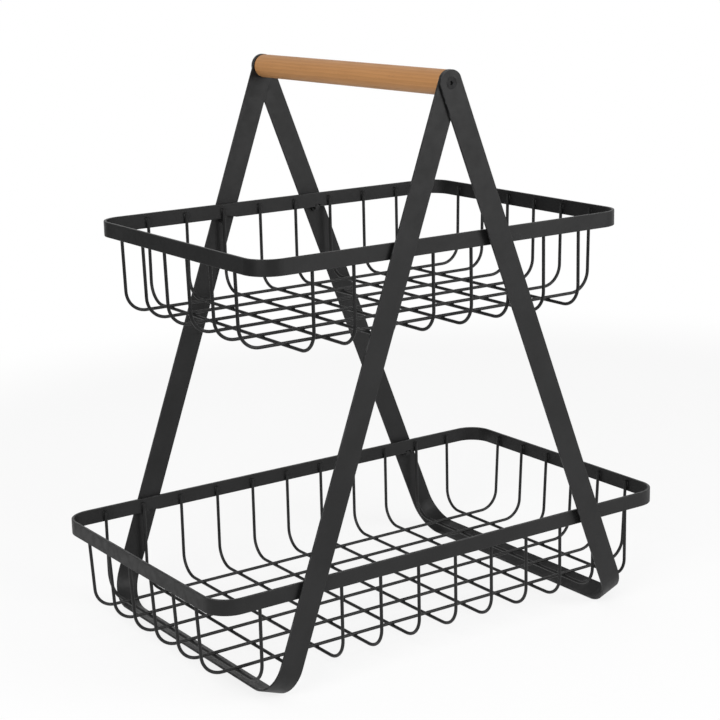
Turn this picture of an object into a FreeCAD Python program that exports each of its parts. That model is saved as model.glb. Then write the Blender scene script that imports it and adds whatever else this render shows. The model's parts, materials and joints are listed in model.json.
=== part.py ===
import FreeCAD, Part
import math
import os

# A two-tier basket stand in millimetres: X along the baskets, Y along the handle, +Z up.
# The origin lies on the table under the middle of the baskets.

# Leg frames: flat steel strip bent into two U shapes, the inner one nested in the outer one.
strip_width = 18.0
strip_thickness = 1.5
strip_edge_radius = 0.4
frame_depth = 239.0
pivot_height = 404.4
outer_lean = math.radians(21.05)
bend_radius = 23.5
nest_clearance = 1.3
arm_clearance = 0.2
foot_land_depth = 0.4

# Handle: a turned dowel between the arm tops.
handle_diameter = 17.4
handle_edge_radius = 1.2

# Handle screws: countersunk, with a hexagon socket, one at each handle end.
screw_diameter = 4.0
screw_head_diameter = 8.0
screw_head_height_share = 0.75
screw_head_recess = 0.15
screw_socket_sides = 6
screw_socket_width = 2.5
screw_socket_depth = 1.2
screw_seat_clearance = 0.03
screw_tip_share = 0.25
pivot_clearance = 0.06

# Threaded inserts: sleeves pressed into the handle ends.
insert_wall = 1.3
insert_length = 12.0
insert_clearance = 0.02
thread_clearance = 0.02
thread_engagement_share = 0.8
insert_bore_room = 3.0

# Basket rims: flat strip bent into a closed hoop. The baskets sit a little towards the outer frame.
rim_height = 11.2
rim_thickness = 2.0
rim_edge_radius = 0.4
rim_corner_radius = 19.0
rim_side_gap = 1.8
upper_rim_length = 313.0
lower_rim_length = 394.0
basket_depth = 68.4
basket_floor_gap = 13.9
tier_spacing = 220.0
basket_shift = 1.2

# Basket wires: round wire bent into a U, its two ends welded inside the rim.
wire_diameter = 2.4
wire_bend_radius = 16.0
wire_end_inset = 2.8
weld_gap = 0.02
long_wire_count = 6
long_wire_margin = 33.5
upper_cross_wire_count = 8
upper_cross_wire_margin = 40.4
lower_cross_wire_count = 11
lower_cross_wire_margin = 31.9
upper_end_lean = math.radians(1.4)
lower_end_lean = math.radians(3.2)

# Studs: shouldered pins on the arms, which carry the rims in notches.
stud_diameter = 4.0
stud_collar_diameter = 7.0
stud_collar_share = 0.55
stud_reach_share = 0.75
stud_clearance = 0.3
notch_depth = 2.0
notch_flat_share = 0.5
notch_ramp_share = 0.6

# One overrun serves all cuts.
overrun = 2.0

X_AXIS = FreeCAD.Vector(1, 0, 0)
Y_AXIS = FreeCAD.Vector(0, 1, 0)
Z_AXIS = FreeCAD.Vector(0, 0, 1)
ORIGIN = FreeCAD.Vector(0, 0, 0)
EIGHTH_TURN = math.pi / 4

# Leg geometry: both crossbars stand on the same table, so the shorter inner frame leans less.
half_strip = strip_width / 2
sole_drop = pivot_height + foot_land_depth
outer_leg_length = (sole_drop - half_strip * math.sin(outer_lean)) / math.cos(outer_lean)
inner_leg_length = outer_leg_length - strip_thickness - nest_clearance
inner_sole_reach = math.hypot(inner_leg_length, half_strip)
inner_lean = math.acos(sole_drop / inner_sole_reach) + math.atan2(half_strip, inner_leg_length)
outer_foot_reach = outer_leg_length * math.sin(outer_lean)
inner_foot_reach = inner_leg_length * math.sin(inner_lean)
pivot_x = (inner_foot_reach - outer_foot_reach) / 2 - basket_shift

# Layers along the handle, from the outside to the middle.
outer_arm_face = frame_depth / 2
outer_arm_back = outer_arm_face - strip_thickness
inner_arm_face = outer_arm_back - arm_clearance
inner_arm_back = inner_arm_face - strip_thickness
handle_end = inner_arm_back - arm_clearance
rim_half_depth = inner_arm_back - rim_side_gap

# Screw and insert sizes that follow from the layers.
screw_radius = screw_diameter / 2
screw_head_height = strip_thickness * screw_head_height_share
screw_face = outer_arm_face - screw_head_recess
screw_end = handle_end - insert_length * thread_engagement_share
screw_tip_length = screw_diameter * screw_tip_share
insert_radius = screw_radius + insert_wall

# Basket levels.
wire_radius = wire_diameter / 2
lower_rim_top = basket_floor_gap + basket_depth
upper_rim_top = lower_rim_top + tier_spacing
stud_radius = stud_diameter / 2
stud_rise = notch_depth - stud_clearance - stud_radius


def point(x, y, z):
    """A point or a shift in the part's frame."""
    return FreeCAD.Vector(x, y, z)


def rounded_rectangle(centre, along, across, length, width, radius):
    """A closed wire: a rectangle about a centre, with rounded corners."""
    edges = []
    half_length = length / 2
    half_width = width / 2
    corners = [(1, 1), (-1, 1), (-1, -1), (1, -1)]
    arc_ends = []
    for u, v in corners:
        hub = centre + along * (u * (half_length - radius)) + across * (v * (half_width - radius))
        on_along = hub + along * (u * radius)
        on_across = hub + across * (v * radius)
        middle = hub + (along * u + across * v) * (radius * math.cos(EIGHTH_TURN))
        first, last = (on_along, on_across) if u * v > 0 else (on_across, on_along)
        edges.append(Part.Arc(first, middle, last).toShape())
        arc_ends.append((first, last))
    for here, following in zip(arc_ends, arc_ends[1:] + arc_ends[:1]):
        edges.append(Part.LineSegment(here[1], following[0]).toShape())
    return Part.Wire(Part.__sortEdges__(edges))


def u_path(axis, place, half_span, top, bottom, radius, lean):
    """A U in the upright plane of an axis, whose shanks lean together towards the bottom."""
    shank_drop = top - bottom - radius * (1 - math.sin(lean))
    hub = half_span - shank_drop * math.tan(lean) - radius * math.cos(lean)
    halfway = lean / 2 + EIGHTH_TURN

    def at(side, u, z):
        return place + axis * (side * u) + Z_AXIS * z

    def on_bend(side, angle):
        return at(side, hub + radius * math.cos(angle), bottom + radius * (1 - math.sin(angle)))

    edges = [Part.LineSegment(at(-1, hub, bottom), at(1, hub, bottom)).toShape()]
    for side in (-1, 1):
        bend_start = on_bend(side, lean)
        bend = Part.Arc(bend_start, on_bend(side, halfway), at(side, hub, bottom))
        shank = Part.LineSegment(at(side, half_span, top), bend_start)
        edges += [shank.toShape(), bend.toShape()]
    return Part.Wire(Part.__sortEdges__(edges))


def swept(path, profile):
    """A solid made by carrying a closed profile along a path."""
    return path.makePipeShell([profile], True, False)


def leg_frame(arm_face, leg_length, lean):
    """A bent strip with round arm tops, leaning about the handle axis and cut flat at the table."""
    half_span = arm_face - strip_thickness / 2
    bottom = strip_thickness / 2 - leg_length
    path = u_path(Y_AXIS, ORIGIN, half_span, half_strip, bottom, bend_radius - strip_thickness / 2, 0)
    start = point(0, -half_span, half_strip)
    profile = rounded_rectangle(start, X_AXIS, Y_AXIS, strip_width, strip_thickness, strip_edge_radius)
    strip = swept(path, profile)
    waste_width = strip_width + 2 * overrun
    waste_depth = 2 * (arm_face + overrun)
    waste_corner = point(-waste_width / 2, -waste_depth / 2, 0)
    waste = Part.makeBox(waste_width, waste_depth, half_strip + overrun, waste_corner)
    crown = Part.makeCylinder(half_strip, waste_depth, point(0, -waste_depth / 2, 0), Y_AXIS)
    strip = strip.cut(waste.cut(crown))
    strip.rotate(ORIGIN, Y_AXIS, math.degrees(lean))
    strip.translate(point(pivot_x, 0, pivot_height))
    ground_size = 2 * (leg_length + overrun)
    ground_corner = point(-ground_size / 2, -ground_size / 2, -overrun)
    return strip.cut(Part.makeBox(ground_size, ground_size, overrun, ground_corner))


def bore(radius, half_length):
    """A round cutter along the handle axis."""
    return Part.makeCylinder(radius, 2 * half_length, point(pivot_x, -half_length, pivot_height), Y_AXIS)


def outer_leg_frame():
    """The longer frame: its arms lie outside, countersunk for the handle screws."""
    frame = leg_frame(outer_arm_face, outer_leg_length, -outer_lean)
    frame = frame.cut(bore(screw_radius + screw_seat_clearance, outer_arm_face + overrun))
    slope = (screw_head_diameter / 2 - screw_radius) / screw_head_height
    sink_depth = screw_head_height + screw_head_recess
    wide = screw_radius + screw_seat_clearance + slope * sink_depth
    narrow = screw_radius + screw_seat_clearance
    for side in (-1, 1):
        mouth = point(pivot_x, side * outer_arm_face, pivot_height)
        frame = frame.cut(Part.makeCone(wide, narrow, sink_depth, mouth, Y_AXIS * -side))
    return frame


def inner_leg_frame():
    """The shorter frame: its arms turn on the screws between the handle ends and the outer arms."""
    frame = leg_frame(inner_arm_face, inner_leg_length, inner_lean)
    return frame.cut(bore(screw_radius + pivot_clearance, inner_arm_face + overrun))


def handle():
    """The dowel, rounded at both ends and bored for the inserts."""
    dowel = bore(handle_diameter / 2, handle_end)
    rims = [edge for edge in dowel.Edges if isinstance(edge.Curve, Part.Circle)]
    dowel = dowel.makeFillet(handle_edge_radius, rims)
    depth = insert_length + insert_bore_room
    for side in (-1, 1):
        mouth = point(pivot_x, side * (handle_end + overrun), pivot_height)
        hole = Part.makeCylinder(insert_radius + insert_clearance, depth + overrun, mouth, Y_AXIS * -side)
        dowel = dowel.cut(hole)
    return dowel


def handle_insert(side):
    """A threaded sleeve, flush with a handle end."""
    mouth = point(pivot_x, side * handle_end, pivot_height)
    inward = Y_AXIS * -side
    sleeve = Part.makeCylinder(insert_radius, insert_length, mouth, inward)
    return sleeve.cut(Part.makeCylinder(screw_radius + thread_clearance, insert_length, mouth, inward))


def handle_screw(side):
    """A countersunk screw from the arm's outer face into the insert."""
    inward = Y_AXIS * -side
    face = point(pivot_x, side * screw_face, pivot_height)
    neck = face + inward * screw_head_height
    head = Part.makeCone(screw_head_diameter / 2, screw_radius, screw_head_height, face, inward)
    shank_length = screw_face - screw_end - screw_head_height - screw_tip_length
    shank = Part.makeCylinder(screw_radius, shank_length, neck, inward)
    tip_radius = screw_radius - screw_tip_length / 2
    tip = Part.makeCone(screw_radius, tip_radius, screw_tip_length, neck + inward * shank_length, inward)
    socket_radius = screw_socket_width / 2 / math.cos(math.pi / screw_socket_sides)
    corners = []
    for i in range(screw_socket_sides + 1):
        turn = 2 * math.pi * i / screw_socket_sides
        spoke = X_AXIS * math.cos(turn) + Z_AXIS * math.sin(turn)
        corners.append(face + spoke * socket_radius)
    socket = Part.Face(Part.makePolygon(corners)).extrude(inward * screw_socket_depth)
    return head.fuse([shank, tip]).removeSplitter().cut(socket)


def stud_height(rim_top):
    """Z of the studs that carry a rim."""
    return rim_top - rim_height + stud_rise


def stud_offset(sign, lean, rim_top):
    """X of the studs that carry a rim, on the arms' centre line."""
    return pivot_x + sign * (pivot_height - stud_height(rim_top)) * math.tan(lean)


def studs(sign, lean, arm_back, rim_top):
    """A pair of shouldered pins that face each other across the basket."""
    x = stud_offset(sign, lean, rim_top)
    z = stud_height(rim_top)
    collar_length = (arm_back - rim_half_depth) * stud_collar_share
    tip = rim_half_depth - rim_thickness * stud_reach_share
    pair = []
    for side in (-1, 1):
        root = point(x, side * arm_back, z)
        inward = Y_AXIS * -side
        collar = Part.makeCylinder(stud_collar_diameter / 2, collar_length, root, inward)
        nose = Part.makeCylinder(stud_radius, arm_back - tip, root, inward)
        pair.append(collar.fuse(nose).removeSplitter())
    return Part.makeCompound(pair)


def notch(outline):
    """A cutter through both long sides of a rim, from an outline of X and Z pairs."""
    y = -rim_half_depth - overrun
    corners = [point(x, y, z) for x, z in outline + outline[:1]]
    return Part.Face(Part.makePolygon(corners)).extrude(Y_AXIS * (2 * (rim_half_depth + overrun)))


def rim(length, top):
    """The hoop, with a square notch over each outer stud and a ramped one over each inner stud."""
    bottom = top - rim_height
    middle = point(0, 0, top - rim_height / 2)
    mid_radius = rim_corner_radius - rim_thickness / 2
    mid_length = length - rim_thickness
    mid_depth = 2 * rim_half_depth - rim_thickness
    path = rounded_rectangle(middle, X_AXIS, Y_AXIS, mid_length, mid_depth, mid_radius)
    seam = path.OrderedVertexes[0].Point
    direction = path.OrderedEdges[0].tangentAt(path.OrderedEdges[0].FirstParameter)
    side = direction.cross(Z_AXIS)
    profile = rounded_rectangle(seam, side, Z_AXIS, rim_thickness, rim_height, rim_edge_radius)
    hoop = swept(path, profile)
    roof = bottom + notch_depth
    sill = bottom - overrun
    reach = stud_radius + stud_clearance
    x = stud_offset(1, outer_lean, top)
    hoop = hoop.cut(notch([(x - reach, sill), (x + reach, sill), (x + reach, roof), (x - reach, roof)]))
    x = stud_offset(-1, inner_lean, top)
    ramp_start = x + stud_radius * notch_flat_share
    ramp_end = ramp_start + (roof - sill) / math.tan(inner_lean * notch_ramp_share)
    return hoop.cut(notch([(x - reach, sill), (ramp_end, sill), (ramp_start, roof), (x - reach, roof)]))


def spread(count, half_room):
    """Even places across a width, from one margin to the other."""
    return [half_room * (2 * i / (count - 1) - 1) for i in range(count)]


def basket_wire(axis, place, half_span, rim_top, bottom, lean):
    """One round wire, bent up at both ends against the inside of the rim."""
    top = rim_top - wire_end_inset
    path = u_path(axis, place, half_span, top, bottom, wire_bend_radius, lean)
    start = place - axis * half_span + Z_AXIS * top
    direction = Z_AXIS * math.cos(lean) - axis * math.sin(lean)
    profile = Part.Wire(Part.Circle(start, direction, wire_radius).toShape())
    return swept(path, profile)


def basket(name, length, rim_top, cross_count, cross_margin, end_lean):
    """A rim with its long wires lying on its cross wires; the long wires lean in at the ends."""
    pieces = {name + "_rim": rim(length, rim_top)}
    inner_half_length = length / 2 - rim_thickness
    inner_half_depth = rim_half_depth - rim_thickness
    weld_inset = wire_radius + weld_gap
    end_inset = wire_radius * math.cos(end_lean) + weld_gap
    cross_bottom = rim_top - basket_depth + wire_radius
    long_bottom = cross_bottom + wire_diameter + weld_gap
    rows = spread(long_wire_count, inner_half_depth - long_wire_margin)
    for i, y in enumerate(rows, 1):
        pieces[f"{name}_long_wire_{i}"] = basket_wire(
            X_AXIS, point(0, y, 0), inner_half_length - end_inset, rim_top, long_bottom, end_lean
        )
    columns = spread(cross_count, inner_half_length - cross_margin)
    for i, x in enumerate(columns, 1):
        pieces[f"{name}_cross_wire_{i}"] = basket_wire(
            Y_AXIS, point(x, 0, 0), inner_half_depth - weld_inset, rim_top, cross_bottom, 0
        )
    return pieces


parts = {
    "outer_leg_frame": outer_leg_frame(),
    "inner_leg_frame": inner_leg_frame(),
    "handle": handle(),
    "front_handle_insert": handle_insert(-1),
    "rear_handle_insert": handle_insert(1),
    "front_handle_screw": handle_screw(-1),
    "rear_handle_screw": handle_screw(1),
    "outer_upper_studs": studs(1, outer_lean, outer_arm_back, upper_rim_top),
    "outer_lower_studs": studs(1, outer_lean, outer_arm_back, lower_rim_top),
    "inner_upper_studs": studs(-1, inner_lean, inner_arm_back, upper_rim_top),
    "inner_lower_studs": studs(-1, inner_lean, inner_arm_back, lower_rim_top),
}
upper_wires = (upper_cross_wire_count, upper_cross_wire_margin, upper_end_lean)
lower_wires = (lower_cross_wire_count, lower_cross_wire_margin, lower_end_lean)
parts.update(basket("upper", upper_rim_length, upper_rim_top, *upper_wires))
parts.update(basket("lower", lower_rim_length, lower_rim_top, *lower_wires))

os.makedirs("parts", exist_ok=True)
for name, shape in parts.items():
    shape.exportStep(os.path.join("parts", name + ".step"))
    print(name, len(shape.Solids), shape.isValid(), round(shape.Volume, 1))
print("pivot at", pivot_x, pivot_height)
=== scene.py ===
import bpy
import json
import math
import numpy as np
from mathutils import Matrix, Vector


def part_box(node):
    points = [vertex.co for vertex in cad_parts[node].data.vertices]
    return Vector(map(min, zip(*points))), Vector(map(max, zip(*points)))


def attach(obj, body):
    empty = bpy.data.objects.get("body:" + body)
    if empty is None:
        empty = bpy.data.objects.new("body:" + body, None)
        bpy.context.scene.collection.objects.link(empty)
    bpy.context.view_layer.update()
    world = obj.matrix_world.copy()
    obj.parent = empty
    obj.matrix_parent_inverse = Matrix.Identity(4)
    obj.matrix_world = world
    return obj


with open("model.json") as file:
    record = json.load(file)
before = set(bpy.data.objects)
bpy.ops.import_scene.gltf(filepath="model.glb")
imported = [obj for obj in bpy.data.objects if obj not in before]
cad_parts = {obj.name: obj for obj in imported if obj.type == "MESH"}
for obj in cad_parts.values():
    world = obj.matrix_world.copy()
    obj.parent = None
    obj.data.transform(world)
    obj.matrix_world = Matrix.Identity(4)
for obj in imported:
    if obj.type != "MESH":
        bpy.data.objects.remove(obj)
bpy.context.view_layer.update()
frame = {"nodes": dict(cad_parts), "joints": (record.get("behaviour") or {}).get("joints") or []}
nodes = frame["nodes"]


# Leg frames
# Two U shapes bent cold from flat steel strip, the shorter one nested inside the longer one.
# They are powder coated satin black, and both hang on the screws at the handle ends.

leg_fold = next(joint for joint in frame["joints"] if joint["name"] == "leg_fold")
pivot = Vector(leg_fold["pos_m"])
strip_half_width = 0.009
outer_lean = math.radians(21.05)
inner_lean = math.radians(19.99)
leg_roughness = 0.50
leg_edge_start = 0.93
# How pale the edges grow: thin coat, and also a painted highlight.
edge_rub_and_highlight = 0.55
sole_wear_height = 0.0024
noise_spread = (0.3, 0.7)


def feed(tree, node, inputs):
    """Give a shader node its inputs, by name or number: plain values or other nodes' outputs."""
    for name, value in inputs.items():
        if isinstance(value, bpy.types.NodeSocket):
            tree.links.new(value, node.inputs[name])
        else:
            node.inputs[name].default_value = value


def shader_node(tree, kind, inputs, **settings):
    """A new shader node with its inputs and settings."""
    node = tree.nodes.new("ShaderNode" + kind)
    for name, value in settings.items():
        setattr(node, name, value)
    feed(tree, node, inputs)
    return node


def maths(tree, operation, first, second=0.0):
    """The result of one sum on two numbers or outputs."""
    return shader_node(tree, "Math", {0: first, 1: second}, operation=operation).outputs[0]


def ramp(tree, value, start, end, low=0.0, high=1.0):
    """A smooth step: low before start, high after end."""
    inputs = {"Value": value, "From Min": start, "From Max": end, "To Min": low, "To Max": high}
    return shader_node(tree, "MapRange", inputs, interpolation_type="SMOOTHSTEP").outputs["Result"]


def grain(tree, place, size, stretch=(1, 1, 1), detail=2.0):
    """Noise with features of a given size in metres, drawn out along the axes by stretch."""
    scale = [1 / (size * s) for s in stretch]
    drawn = shader_node(tree, "Mapping", {"Vector": place, "Scale": scale}).outputs[0]
    inputs = {"Vector": drawn, "Scale": 1.0, "Detail": detail}
    return shader_node(tree, "TexNoise", inputs).outputs["Fac"]


def tint(tree, share, first, second):
    """A colour between two, by a share from 0 to 1. The first may be another node's output."""
    base = first if isinstance(first, bpy.types.NodeSocket) else (*first, 1)
    inputs = {"Fac": share, "Color1": base, "Color2": (*second, 1)}
    return shader_node(tree, "MixRGB", inputs).outputs["Color"]


def bumps(tree, relief, depth, strength):
    """The normals of a relief that is a given depth in metres."""
    inputs = {"Height": relief, "Distance": depth, "Strength": strength}
    return shader_node(tree, "Bump", inputs).outputs["Normal"]


def height_of(tree, place):
    """How high a point of the piece is above the table."""
    return shader_node(tree, "SeparateXYZ", {"Vector": place}).outputs["Z"]


def start_material(name):
    """A new material with its tree, its shader and the object's own coordinates."""
    material = bpy.data.materials.new(name)
    material.use_nodes = True
    tree = material.node_tree
    place = shader_node(tree, "TexCoord", {}).outputs["Object"]
    return material, tree, tree.nodes["Principled BSDF"], place


def powder_coat(name, roughness, thin_and_highlit_places):
    """Satin black powder coat.

    Colour: near black that drifts with a broad cloud and greys where the coat is thin or rubbed; on edges
    this grey is also a painted highlight.
    Gloss: a roughness that drifts with a finer cloud and drops on rubbed places.
    Relief: soft ripples about a millimetre across, with a fine grit on top.
    """
    dark_coat = (0.0065, 0.0065, 0.0066)
    pale_coat = (0.0100, 0.0100, 0.0102)
    # Grey of thin or rubbed coat, which on edges is also a painted highlight.
    rubbed_and_highlit_coat = (0.050, 0.050, 0.051)
    cloud_size = 0.030
    patch_size = 0.006
    ripple_size = 0.0012
    ripple_depth = 0.00003
    ripple_strength = 0.6
    grit_size = 0.00028
    grit_share = 0.25
    rub_spread = (0.42, 0.62)
    gloss_spread = (0.25, 0.75)
    gloss_drift = 0.06
    rubbed_gloss = 0.10
    specular = 0.25
    material, tree, shader, place = start_material(name)
    cloud = grain(tree, place, cloud_size, detail=4.0)
    patch = grain(tree, place, patch_size, detail=3.0)
    ripple = grain(tree, place, ripple_size)
    grit = grain(tree, place, grit_size)
    rub_and_highlight = maths(tree, "MULTIPLY", thin_and_highlit_places(tree, place), ramp(tree, patch, *rub_spread))
    coat = tint(tree, ramp(tree, cloud, *noise_spread), dark_coat, pale_coat)
    gloss = ramp(tree, patch, *gloss_spread, roughness - gloss_drift, roughness + gloss_drift)
    gloss = maths(tree, "SUBTRACT", gloss, maths(tree, "MULTIPLY", rub_and_highlight, rubbed_gloss))
    relief = maths(tree, "ADD", ripple, maths(tree, "MULTIPLY", grit, grit_share))
    feed(tree, shader, {
        "Base Color": tint(tree, rub_and_highlight, coat, rubbed_and_highlit_coat),
        "Roughness": gloss,
        "Normal": bumps(tree, relief, ripple_depth, ripple_strength),
        "Specular IOR Level": specular,
    })
    return material


def strip_edges(lean):
    """Thin coat on the strip's two edges and round its crown, greyed also as a painted highlight, and a
    rubbed sole.

    In the strip's own frame, turned about the pivot and measured in half widths, the distance from
    the centre line, which ends at the pivot, is 1 on the edge. The sole is the lowest part of the strip.
    """
    def thin_and_highlit_places(tree, place):
        size = [strip_half_width] * 3
        inputs = {"Vector": place, "Location": pivot, "Rotation": (0, lean, 0), "Scale": size}
        turned = shader_node(tree, "Mapping", inputs, vector_type="TEXTURE").outputs[0]
        across = shader_node(tree, "SeparateXYZ", {"Vector": turned}).outputs
        above_pivot = maths(tree, "MAXIMUM", across["Z"], 0.0)
        flat = shader_node(tree, "CombineXYZ", {"X": across["X"], "Z": above_pivot}).outputs[0]
        reach = shader_node(tree, "VectorMath", {0: flat}, operation="LENGTH").outputs["Value"]
        sole = ramp(tree, height_of(tree, place), sole_wear_height, 0.0)
        # The edges grey: thin coat, and also a painted highlight.
        edge = ramp(tree, reach, leg_edge_start, 1.0, 0.0, edge_rub_and_highlight)
        return maths(tree, "MAXIMUM", edge, sole)

    return thin_and_highlit_places


for leg, turned_by in (("outer", -outer_lean), ("inner", inner_lean)):
    leg_coat = powder_coat(leg + "_leg_coat", leg_roughness, strip_edges(turned_by))
    nodes[leg + "_leg_frame"].active_material = leg_coat


# Studs
# Shouldered steel pins, welded to the arms and coated with them, that the basket rims hang on.
# The coat is rubbed on top of each nose, where a rim's notch sits.

stud_roughness = 0.48


def stud_tops(stud_group):
    """Rubbed coat on the upper side: it begins at the pins' middle height and is full at their top."""
    low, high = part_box(stud_group)

    def thin_and_highlit_places(tree, place):
        return ramp(tree, height_of(tree, place), (low.z + high.z) / 2, high.z)

    return thin_and_highlit_places


for tier in ("upper", "lower"):
    for leg in ("outer", "inner"):
        stud_group = f"{leg}_{tier}_studs"
        stud_coat = powder_coat(stud_group + "_coat", stud_roughness, stud_tops(stud_group))
        nodes[stud_group].active_material = stud_coat


# Handle inserts
# Brass sleeves, turned and threaded inside.
# They are pressed into the bored ends of the handle, for the screws to bite into.

brass = (0.72, 0.50, 0.20)
brass_roughness = 0.32
brass_groove = 0.00025


def middle_of(node):
    """The middle of a CAD piece's box."""
    low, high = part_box(node)
    return (low + high) / 2


def rings_about(tree, place, centre, spacing, bends):
    """Rings about a line along Y: a saw wave of the distance from it, with a given spacing in metres.

    At a scale of 1 the wave repeats every tau / 20 metres, so the scale is that length over the spacing.
    """
    unscaled_spacing = math.tau / 20
    centred = shader_node(tree, "Mapping", {"Vector": place, "Location": -centre}).outputs[0]
    inputs = {"Vector": centred, "Scale": unscaled_spacing / spacing, **bends}
    kind = {"wave_type": "RINGS", "rings_direction": "Y", "wave_profile": "SAW"}
    return shader_node(tree, "TexWave", inputs, **kind).outputs["Fac"]


def turned_metal(name, node, colour, roughness, metallic, specular, groove):
    """Turned metal with fine tool rings about the piece's own axis, which lies along Y.

    Colour: the given one, made a little darker and paler by small smudges.
    Gloss: a roughness that drifts with the smudges and the rings. Relief: the rings, as shallow grooves.
    """
    smudge_size = 0.0015
    smudge_tones = (0.75, 1.25)
    gloss_drift = 0.08
    groove_bends = {"Distortion": 0.3}
    groove_depth = groove * 0.1
    groove_strength = 0.5
    material, tree, shader, place = start_material(name)
    rings = rings_about(tree, place, middle_of(node), groove, groove_bends)
    smudge = grain(tree, place, smudge_size, detail=3.0)
    darker, paler = [[c * tone for c in colour] for tone in smudge_tones]
    gloss = ramp(tree, smudge, *noise_spread, roughness - gloss_drift, roughness + gloss_drift)
    feed(tree, shader, {
        "Base Color": tint(tree, smudge, darker, paler),
        "Roughness": maths(tree, "ADD", gloss, maths(tree, "MULTIPLY", rings, gloss_drift)),
        "Normal": bumps(tree, rings, groove_depth, groove_strength),
        "Metallic": metallic,
        "Specular IOR Level": specular,
    })
    return material


for end in ("front", "rear"):
    insert = end + "_handle_insert"
    nodes[insert].active_material = turned_metal(
        insert + "_brass", insert, brass, brass_roughness,
        metallic=1.0, specular=0.5, groove=brass_groove,
    )


# Handle
# A turned beech dowel with rounded ends, sanded and oiled. The grain runs straight along it.
# It sits between the arm tops, and the screws hold it by the inserts in its ends.

def oiled_beech(name):
    """Oiled beech.

    Colour: growth rings are a saw wave of the distance from a pith line beside the dowel; long pore
    streaks and short dark ray flecks lie on them, and long bands and a slow drift run along the dowel.
    Gloss: a roughness that grows with the streaks.
    Relief: fine ridges between the pores, with the flecks sunk a little below them.
    """
    pale = (0.500, 0.246, 0.092)
    brown = (0.395, 0.188, 0.067)
    fleck_tone = (0.300, 0.142, 0.055)
    ring_spacing = 0.0026
    ring_bends = {"Distortion": 2.2, "Detail": 1.0, "Detail Scale": 0.12}
    pith_offset = Vector((0.021, 0, 0.034))
    band_size, band_stretch = 0.008, (1, 9, 1)
    streak_size, streak_stretch = 0.00032, (1, 60, 1)
    pore_size, pore_stretch = 0.00016, (1, 22, 1)
    drift_size, drift_stretch = 0.02, (1, 2, 1)
    fleck_group_size, fleck_group_stretch = 0.005, (1, 4, 1)
    flecks_per_metre = (900, 190, 900)
    fleck_edge = (0.30, 0.12)
    fleck_group_spread = (0.40, 0.65)
    ring_share, streak_share, drift_share = 0.34, 0.55, 0.34
    brown_spread = (0.42, 1.12)
    fleck_share = 0.5
    smooth, rough = 0.46, 0.60
    pore_rise, fleck_drop = 0.7, 0.4
    relief_depth = 0.00004
    relief_strength = 0.5
    specular = 0.4
    material, tree, shader, place = start_material(name)
    rings = rings_about(tree, place, middle_of("handle") - pith_offset, ring_spacing, ring_bends)
    band = grain(tree, place, band_size, band_stretch)
    streak = grain(tree, place, streak_size, streak_stretch, detail=3.0)
    pores = grain(tree, place, pore_size, pore_stretch)
    drift = grain(tree, place, drift_size, drift_stretch)
    fleck_cells = shader_node(tree, "Mapping", {"Vector": place, "Scale": flecks_per_metre}).outputs[0]
    fleck = shader_node(tree, "TexVoronoi", {"Vector": fleck_cells, "Scale": 1.0}).outputs["Distance"]
    fleck = ramp(tree, fleck, *fleck_edge)
    fleck_group = grain(tree, place, fleck_group_size, fleck_group_stretch)
    fleck = maths(tree, "MULTIPLY", fleck, ramp(tree, fleck_group, *fleck_group_spread))
    ringed = maths(tree, "MULTIPLY", rings, ring_share)
    streaked = maths(tree, "MULTIPLY", streak, streak_share)
    drifted = maths(tree, "MULTIPLY", maths(tree, "ADD", drift, band), drift_share)
    browned = maths(tree, "ADD", maths(tree, "ADD", ringed, streaked), drifted)
    wood = tint(tree, ramp(tree, browned, *brown_spread), pale, brown)
    raised = maths(tree, "MULTIPLY", pores, pore_rise)
    relief = maths(tree, "SUBTRACT", raised, maths(tree, "MULTIPLY", fleck, fleck_drop))
    feed(tree, shader, {
        "Base Color": tint(tree, maths(tree, "MULTIPLY", fleck, fleck_share), wood, fleck_tone),
        "Roughness": ramp(tree, streak, *noise_spread, smooth, rough),
        "Normal": bumps(tree, relief, relief_depth, relief_strength),
        "Specular IOR Level": specular,
    })
    return material


nodes["handle"].active_material = oiled_beech("handle_beech")


# Handle screws
# Countersunk steel screws with a hexagon socket, turned and blackened.
# One goes through both arms into the insert at each end, so that the legs fold about the two.

black_oxide = (0.0040, 0.0040, 0.0043)
oxide_roughness = 0.40
screw_groove = 0.00022
for end in ("front", "rear"):
    screw = end + "_handle_screw"
    nodes[screw].active_material = turned_metal(
        screw + "_black", screw, black_oxide, oxide_roughness,
        metallic=0.0, specular=0.17, groove=screw_groove,
    )


# Basket rims
# Flat strip on edge, bent into a hoop with round corners, butt welded and ground flush.
# Each is coated with its basket, and hangs on the studs by notches in its lower edge.

rim_roughness = 0.48
rim_edge_start = 0.90


def rim_edges(rim):
    """Thin coat, greyed also as a painted highlight, along the hoop's top and bottom edges: the height
    from its middle is 1 on the edges.
    """
    low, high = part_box(rim)

    def thin_and_highlit_places(tree, place):
        from_middle = maths(tree, "SUBTRACT", height_of(tree, place), (low.z + high.z) / 2)
        reach = maths(tree, "DIVIDE", maths(tree, "ABSOLUTE", from_middle), (high.z - low.z) / 2)
        # The edges grey: thin coat, and also a painted highlight.
        return ramp(tree, reach, rim_edge_start, 1.0, 0.0, edge_rub_and_highlight)

    return thin_and_highlit_places


for tier in ("upper", "lower"):
    rim = tier + "_rim"
    nodes[rim].active_material = powder_coat(rim + "_coat", rim_roughness, rim_edges(rim))


# Basket wires
# Round wire bent into a U, laid crosswise in two layers, spot welded at every crossing and to the rim.
# The coat runs smoother on wire than on strip, and is a little rubbed on the floor's upper side.

wire_size = 0.0024
wire_roughness = 0.44
floor_rub = 0.35
rub_start, rub_full = 0.6 * wire_size, wire_size
rub_fades, rub_ends = 1.2 * wire_size, 2.2 * wire_size


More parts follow.
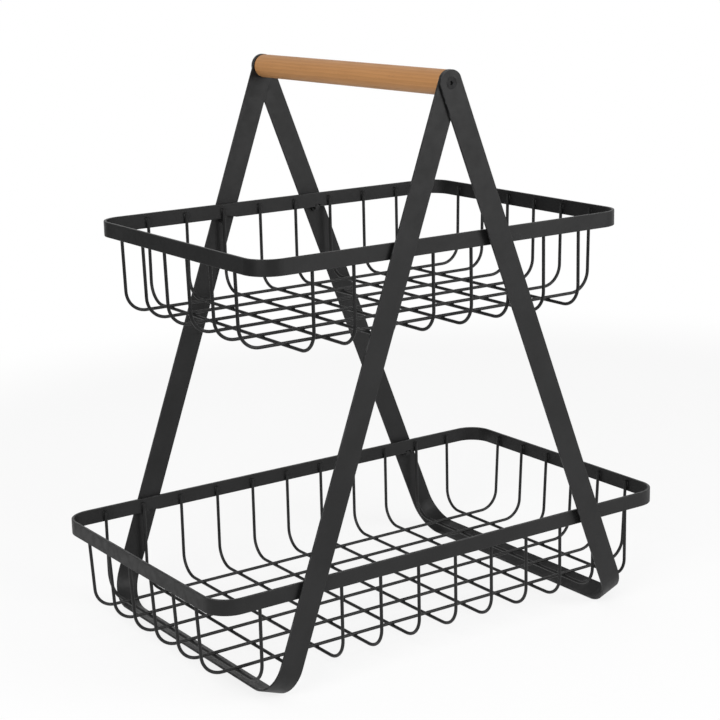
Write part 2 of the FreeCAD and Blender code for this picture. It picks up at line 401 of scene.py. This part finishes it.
def wire_floor(tier):
    """A little rubbed coat on the floor's long wires: full at their top, and fading just above it."""
    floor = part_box(tier + "_long_wire_1")[0].z

    def thin_and_highlit_places(tree, place):
        height = height_of(tree, place)
        top = ramp(tree, height, floor + rub_start, floor + rub_full, 0.0, floor_rub)
        return maths(tree, "MULTIPLY", top, ramp(tree, height, floor + rub_ends, floor + rub_fades))

    return thin_and_highlit_places


wire_coats = {}
for tier in ("upper", "lower"):
    wire_coats[tier] = powder_coat(tier + "_wire_coat", wire_roughness, wire_floor(tier))
    for name, node in nodes.items():
        if name.startswith(tier) and "_wire_" in name:
            node.active_material = wire_coats[tier]


# Welds
# Small beads of steel squeezed out where a wire crosses another or ends against a rim.
# They are coated with the basket.

bead_sides = 10
bead_rises = np.radians([-60, -30, 0, 30, 60])
crossing_half_size = (0.00125, 0.00125, 0.00055)
end_half_depth, end_half_width, end_half_height = 0.0007, 0.0017, 0.0026
rim_thickness = 0.002
weld_drop = 0.0054


def new_piece(name, points, faces):
    """An object at the origin with a mesh of these points and faces."""
    mesh = bpy.data.meshes.new(name)
    mesh.from_pydata(points.tolist(), [], faces)
    piece = bpy.data.objects.new(name, mesh)
    bpy.context.scene.collection.objects.link(piece)
    return piece


def beads(name, centres, half_sizes):
    """Many closed lens shapes as one mesh.

    Each is an ellipsoid: on a grid of turn and rise, a point is its centre plus the half sizes times
    the cosine of rise times (cosine of turn, sine of turn), and the sine of rise. A pole closes each end.
    """
    turns = np.arange(bead_sides) * math.tau / bead_sides
    ring = np.stack([
        np.cos(bead_rises)[:, None] * np.cos(turns),
        np.cos(bead_rises)[:, None] * np.sin(turns),
        np.sin(bead_rises)[:, None] * np.ones(bead_sides),
    ], -1).reshape(-1, 3)
    unit = np.vstack([ring, [(0, 0, -1), (0, 0, 1)]])
    points = np.asarray(centres)[:, None, :] + unit * np.asarray(half_sizes)[:, None, :]
    row, column = np.meshgrid(np.arange(len(bead_rises) - 1), np.arange(bead_sides), indexing="ij")
    here = row * bead_sides + column
    beside = row * bead_sides + (column + 1) % bead_sides
    quads = np.stack([here, beside, beside + bead_sides, here + bead_sides], -1).reshape(-1, 4)
    first = np.arange(bead_sides)
    following = (first + 1) % bead_sides
    last_row = len(ring) - bead_sides
    bottom = np.stack([following, first, np.full(bead_sides, len(ring))], -1)
    top = np.stack([first + last_row, following + last_row, np.full(bead_sides, len(ring) + 1)], -1)
    starts = np.arange(len(points))[:, None, None] * len(unit)
    faces = []
    for part in (quads, bottom, top):
        faces += (starts + part).reshape(-1, part.shape[1]).tolist()
    piece = new_piece(name, points.reshape(-1, 3), faces)
    piece.data.polygons.foreach_set("use_smooth", np.ones(len(faces), bool))
    return piece


for tier in ("upper", "lower"):
    long_wires = [name for name in nodes if name.startswith(tier + "_long_wire")]
    cross_wires = [name for name in nodes if name.startswith(tier + "_cross_wire")]
    rows = np.array([middle_of(wire).y for wire in long_wires])
    columns = np.array([middle_of(wire).x for wire in cross_wires])
    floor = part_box(long_wires[0])[0].z
    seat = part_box(tier + "_rim")[1] - Vector((rim_thickness, rim_thickness, weld_drop))
    crossings = [(x, y, floor) for y in rows for x in columns]
    ends_x = [(side * seat.x, y, seat.z) for side in (-1, 1) for y in rows]
    ends_y = [(x, side * seat.y, seat.z) for side in (-1, 1) for x in columns]
    half_sizes = np.vstack([
        np.tile(crossing_half_size, (len(crossings), 1)),
        np.tile((end_half_depth, end_half_width, end_half_height), (len(ends_x), 1)),
        np.tile((end_half_width, end_half_depth, end_half_height), (len(ends_y), 1)),
    ])
    welds = beads(tier + "_basket_welds", crossings + ends_x + ends_y, half_sizes)
    welds.data.materials.append(wire_coats[tier])
    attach(welds, tier + "_basket")


# Studio
# A round sheet of white paper on a table, and a white backdrop, in a room that is dim on the left.
# One soft box stands to the left of the camera, and a weaker one to its right.

paper_centre = np.array((0.25, 0.20, 0.0))
paper_radius = 0.80
paper_sides = 96
paper_grey = (0.92, 0.92, 0.92, 1)
paper_white = 0.80
shadow_radius = 0.50
pure_white = (1, 1, 1, 1)
bright_side = (0.75, -0.30, 0.59)
bright_spread = (-0.9, 0.8)
room_dim, room_bright = 0.14, 0.60
backdrop_side = (0.57, 0.82, 0.0)
backdrop_edge = (0.5, 0.8)
lamp_aim = Vector((0, 0, 0.2))


def ray_switches(tree):
    """Two switches: 1 for rays in a gloss or through a clear thing, and 1 for rays from the camera."""
    rays = shader_node(tree, "LightPath", {}).outputs
    in_gloss = maths(tree, "MAXIMUM", rays["Is Glossy Ray"], rays["Is Transmission Ray"])
    return in_gloss, rays["Is Camera Ray"]


def white_paper(name):
    """Paper that lights the object as pale grey, and that camera and gloss see as nearly white.

    The share of white is less round the object, so that its shadow shows, and full at the paper's edge.
    """
    material = bpy.data.materials.new(name)
    material.use_nodes = True
    tree = material.node_tree
    tree.nodes.clear()
    place = shader_node(tree, "TexCoord", {}).outputs["Object"]
    inputs = {0: place, 1: paper_centre}
    reach = shader_node(tree, "VectorMath", inputs, operation="DISTANCE").outputs["Value"]
    white_share = ramp(tree, reach, shadow_radius, paper_radius, paper_white, 1.0)
    in_gloss, to_camera = ray_switches(tree)
    white_share = maths(tree, "MULTIPLY", white_share, maths(tree, "MAXIMUM", in_gloss, to_camera))
    lit = shader_node(tree, "BsdfDiffuse", {"Color": paper_grey}).outputs[0]
    white = shader_node(tree, "Emission", {"Color": pure_white, "Strength": 1.0}).outputs[0]
    surface = shader_node(tree, "MixShader", {"Fac": white_share, 1: lit, 2: white}).outputs[0]
    shader_node(tree, "OutputMaterial", {"Surface": surface})
    return material


def studio_room(name):
    """A world that grows from dim to bright towards one side.

    The camera sees it as white, and gloss sees white on the side of the backdrop.
    """
    world = bpy.data.worlds.new(name)
    world.use_nodes = True
    tree = world.node_tree
    tree.nodes.clear()
    heading = shader_node(tree, "TexCoord", {}).outputs["Generated"]
    to_bright_side, to_backdrop = [
        shader_node(tree, "VectorMath", {0: heading, 1: side}, operation="DOT_PRODUCT").outputs["Value"]
        for side in (bright_side, backdrop_side)
    ]
    level = ramp(tree, to_bright_side, *bright_spread, room_dim, room_bright)
    in_gloss, to_camera = ray_switches(tree)
    on_backdrop = maths(tree, "MULTIPLY", in_gloss, ramp(tree, to_backdrop, *backdrop_edge))
    white_share = maths(tree, "MAXIMUM", to_camera, on_backdrop)
    room = shader_node(tree, "Background", {"Color": pure_white, "Strength": level}).outputs[0]
    white = shader_node(tree, "Background", {"Color": pure_white, "Strength": 1.0}).outputs[0]
    surface = shader_node(tree, "MixShader", {"Fac": white_share, 1: room, 2: white}).outputs[0]
    shader_node(tree, "OutputWorld", {"Surface": surface})
    return world


def soft_box(name, place, size, power):
    """A square area lamp that faces the middle of the object."""
    lamp = bpy.data.lights.new(name, "AREA")
    lamp.shape = "SQUARE"
    lamp.size = size
    lamp.energy = power
    holder = bpy.data.objects.new(name, lamp)
    holder.location = place
    holder.rotation_euler = (lamp_aim - Vector(place)).to_track_quat("-Z", "Y").to_euler()
    bpy.context.scene.collection.objects.link(holder)


turns = np.arange(paper_sides) * math.tau / paper_sides
round_edge = np.stack([np.cos(turns), np.sin(turns), np.zeros(paper_sides)], -1)
paper = new_piece("paper", paper_centre + paper_radius * round_edge, [list(range(paper_sides))])
paper.data.materials.append(white_paper("white_paper"))
bpy.context.scene.world = studio_room("studio")
soft_box("front_left_lamp", place=(-1.60, -0.85, 0.95), size=1.2, power=31)
soft_box("front_right_lamp", place=(1.05, -1.70, 0.80), size=1.2, power=25)


# Camera
# The photograph's viewing angle, with its slight roll.
# The focal length is in pixels of a frame that is 720 pixels wide.

azimuth = math.radians(-34.465)
elevation = math.radians(13.699)
roll = math.radians(-1.339)
distance = 1.40506
focal_pixels = 1768.32
image_pixels = 720
sensor_width = 36.0
target = Vector((0.04697, 0.07118, 0.1720))
back = Vector((
    math.sin(azimuth) * math.cos(elevation),
    -math.cos(azimuth) * math.cos(elevation),
    math.sin(elevation),
))
level_right = Vector((math.cos(azimuth), math.sin(azimuth), 0))
level_up = back.cross(level_right)
right = math.cos(roll) * level_right + math.sin(roll) * level_up
up = math.cos(roll) * level_up - math.sin(roll) * level_right
turn = Matrix((right, up, back)).transposed().to_4x4()
camera_data = bpy.data.cameras.new("camera")
camera_data.sensor_width = sensor_width
camera_data.lens = focal_pixels * sensor_width / image_pixels
camera = bpy.data.objects.new("camera", camera_data)
camera.matrix_world = Matrix.Translation(target + back * distance) @ turn
bpy.context.scene.collection.objects.link(camera)
bpy.context.scene.camera = camera
bpy.context.scene.view_settings.view_transform = "Standard"
